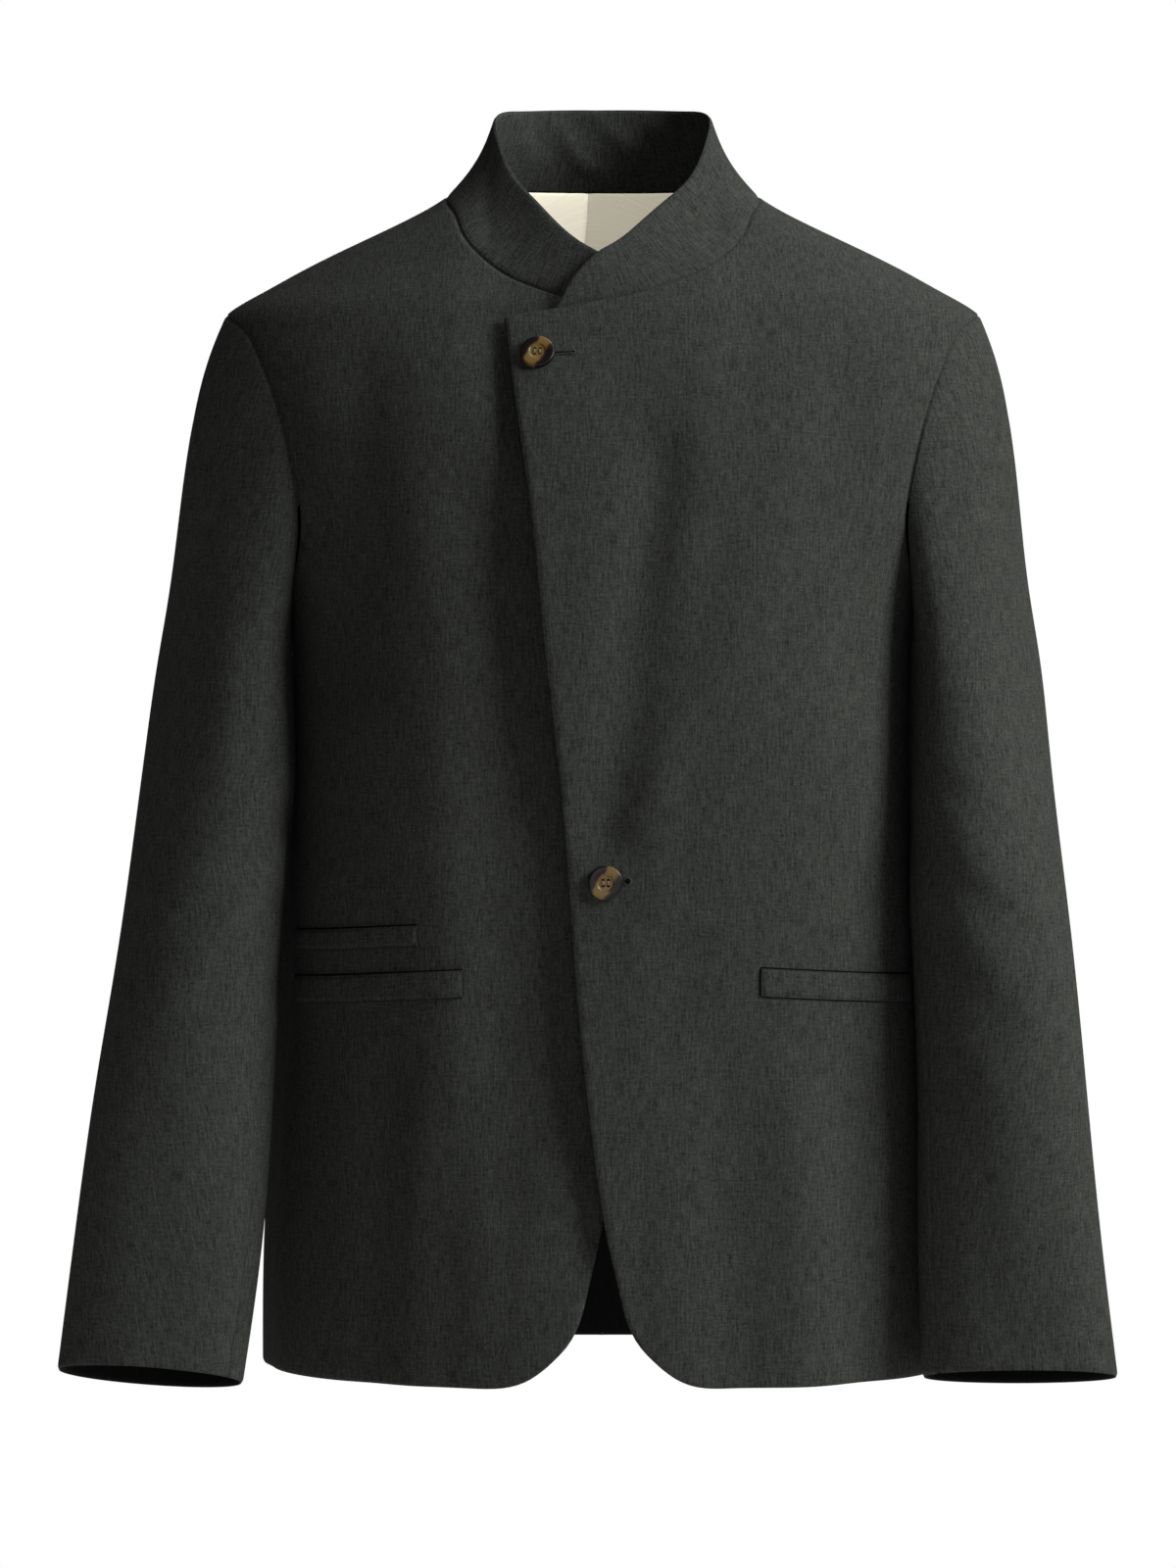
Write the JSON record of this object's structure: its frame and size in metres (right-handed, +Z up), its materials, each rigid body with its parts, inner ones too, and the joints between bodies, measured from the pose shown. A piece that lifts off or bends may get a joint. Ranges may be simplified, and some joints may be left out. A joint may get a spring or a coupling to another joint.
{
  "type": "mandarin collar blazer",
  "caption": "Hip-length wool blazer with a stand-up mandarin collar, cutaway hem, set-in two-piece sleeves and pocket welts, filled out as if worn and open at neck, hem and cuffs.",
  "frame": {"origin": "on the centre line between the shoulder neck points, where the wearer's shoulders carry the garment", "axes": "+Z up, -Y the way the front faces, +X the wearer's left"},
  "size_m": [0.6279, 0.2557, 0.7813],
  "materials": {
    "wool": "dark green-grey melange wool, matt with a soft nap",
    "lining": "cream lining, fine plain weave with a slight sheen",
    "button": "tortoiseshell, polished"
  },
  "bodies": {
    "root": {"front_left": "wool", "front_right": "wool", "back_left": "wool", "back_right": "wool", "sleeve_left_top": "wool", "sleeve_left_under": "wool", "sleeve_right_top": "wool", "sleeve_right_under": "wool", "collar": "wool", "back_lining_left": "lining", "back_lining_right": "lining", "welt_hip_left": "wool", "welt_hip_right": "wool", "welt_ticket_right": "wool", "button_upper": "button", "button_lower": "button"}
  },
  "joints": []
}
